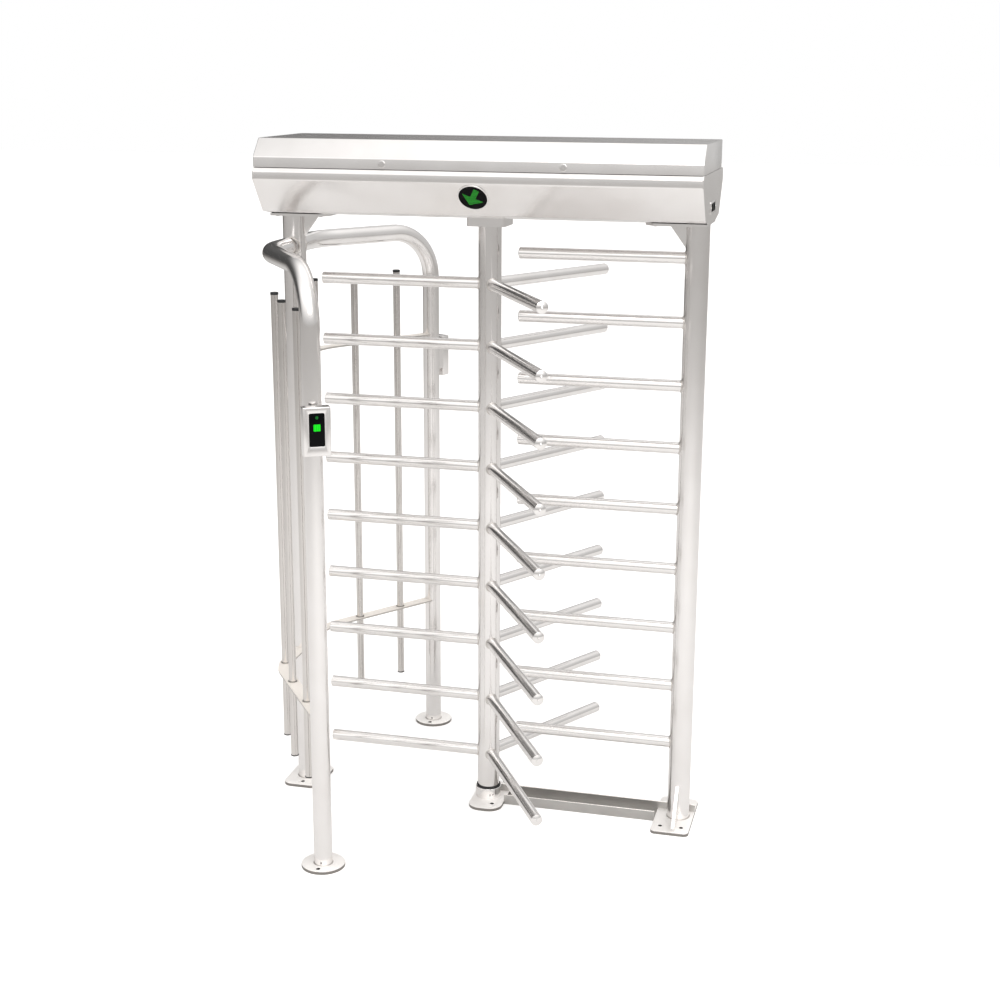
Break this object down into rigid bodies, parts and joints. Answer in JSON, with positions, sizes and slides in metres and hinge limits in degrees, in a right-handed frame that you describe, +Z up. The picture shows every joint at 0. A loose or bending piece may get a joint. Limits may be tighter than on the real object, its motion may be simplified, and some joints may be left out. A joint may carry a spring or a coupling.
{
  "type": "full height turnstile",
  "caption": "Full height turnstile: a rotor with columns of tubular arms turns between a fixed comb and a curved guide under a box beam that holds its mechanism.",
  "frame": {"origin": "on the floor at the rotor axis, which is the centre of the pivot plate's two bolt holes", "axes": "+X along the beam towards the comb, +Y towards the back passage, +Z up"},
  "size_m": [1.482, 1.468, 2.3],
  "materials": {
    "tube": "polished stainless steel tube",
    "plate": "brushed stainless steel plate",
    "sheet": "brushed stainless steel sheet",
    "machined": "turned and milled steel",
    "bearing": "ground and polished bearing steel",
    "bolt": "stainless steel fasteners",
    "black_plastic": "moulded black nylon",
    "seal": "black rubber",
    "lens": "dark glossy acrylic",
    "arrow": "lit green acrylic",
    "board": "green circuit board",
    "lever": "red powder coat",
    "brass": "plain brass",
    "coil": "blue grey enamel"
  },
  "bodies": {
    "frame": {"left_post": "tube", "comb_post": "tube", "left_base_plate": "plate", "comb_base_plate": "plate", "post_gussets": "plate", "head_plates": "plate", "head_bolts": "bolt", "beam_tray": "sheet", "beam_ends": "sheet", "hinge_leaves_fixed": "machined", "hinge_pins": "machined", "signal_bezels": "black_plastic", "signal_faces": "lens", "signal_arrows": "arrow", "power_panel": "black_plastic", "top_bearing_block": "machined", "top_bearing_outer_race": "bearing", "top_bearing_balls": "bearing", "mechanism_plate": "plate", "pivot_pins": "machined", "solenoids": "coil", "control_board": "board", "power_supply": "sheet", "pivot_seal": "seal", "pivot_bearing_outer": "bearing", "pivot_housing": "machined", "pivot_plate": "plate", "comb_bars": "tube", "comb_caps": "tube", "floor_channel": "sheet", "guide_rails": "tube", "guide_feet": "plate", "guide_strips": "plate", "guide_pickets": "tube", "picket_plugs": "black_plastic", "picket_collars": "machined", "readers": "sheet", "reader_windows": "lens", "reader_brackets": "plate"},
    "rotor": {"rotor_column": "tube", "rotor_arms": "tube", "arm_caps": "tube", "head_shaft": "machined", "index_cam": "machined", "lock_disc": "machined", "top_bearing_inner_race": "bearing", "pivot_shaft": "machined", "pivot_bearing_inner": "bearing"},
    "lid": {"beam_lid": "sheet", "hinge_leaves_moving": "machined", "lid_lock_barrels": "machined"},
    "lid_lock_left": {"lid_lock_plug_left": "machined"},
    "lid_lock_right": {"lid_lock_plug_right": "machined"},
    "power_switch": {"power_rocker": "black_plastic"},
    "index_lever": {"index_lever": "lever"},
    "index_roller": {"index_roller": "seal"},
    "lock_pawl_exit": {"lock_pawl_exit": "brass"},
    "lock_pawl_entry": {"lock_pawl_entry": "brass"},
    "plunger_exit": {"plunger_exit": "machined"},
    "plunger_entry": {"plunger_entry": "machined"}
  },
  "joints": [
    {"name": "rotor_turn", "type": "hinge", "parent": "frame", "child": "rotor", "pos_m": [0, 0, 0], "axis": [0, 0, 1], "continuous": true},
    {"name": "lid_open", "type": "hinge", "parent": "frame", "child": "lid", "pos_m": [0, 0.205, 2.215], "axis": [-1, 0, 0], "range_deg": [0, 85]},
    {"name": "lid_lock_left_turn", "type": "hinge", "parent": "lid", "child": "lid_lock_left", "pos_m": [-0.291, -0.238, 2.226], "axis": [0, 1, 0], "range_deg": [0, 90]},
    {"name": "lid_lock_right_turn", "type": "hinge", "parent": "lid", "child": "lid_lock_right", "pos_m": [0.291, -0.238, 2.226], "axis": [0, -1, 0], "range_deg": [0, 90]},
    {"name": "power_switch_rock", "type": "hinge", "parent": "frame", "child": "power_switch", "pos_m": [0.723, 0.026, 2.1], "axis": [0, 0, 1], "range_deg": [0, 12]},
    {"name": "index_lever_swing", "type": "hinge", "parent": "frame", "child": "index_lever", "pos_m": [-0.118, 0.072, 2.106], "axis": [0, 0, -1], "range_deg": [0, 6]},
    {"name": "index_roller_spin", "type": "hinge", "parent": "index_lever", "child": "index_roller", "pos_m": [-0.0785, 0, 2.12], "axis": [0, 0, 1], "continuous": true},
    {"name": "lock_pawl_exit_swing", "type": "hinge", "parent": "frame", "child": "lock_pawl_exit", "pos_m": [0.1, 0.062, 2.14], "axis": [0, 0, -1], "range_deg": [0, 13]},
    {"name": "lock_pawl_entry_swing", "type": "hinge", "parent": "frame", "child": "lock_pawl_entry", "pos_m": [-0.1, -0.062, 2.14], "axis": [0, 0, -1], "range_deg": [0, 13]},
    {"name": "plunger_exit_slide", "type": "slide", "parent": "frame", "child": "plunger_exit", "axis": [-1, 0, 0], "range_m": [0, 0.0084]},
    {"name": "plunger_entry_slide", "type": "slide", "parent": "frame", "child": "plunger_entry", "axis": [1, 0, 0], "range_m": [0, 0.0084]}
  ],
  "couplings": [
    {"joint": "plunger_exit_slide", "follows": "lock_pawl_exit_swing", "m_per_rad": 0.037},
    {"joint": "plunger_entry_slide", "follows": "lock_pawl_entry_swing", "m_per_rad": 0.037}
  ]
}
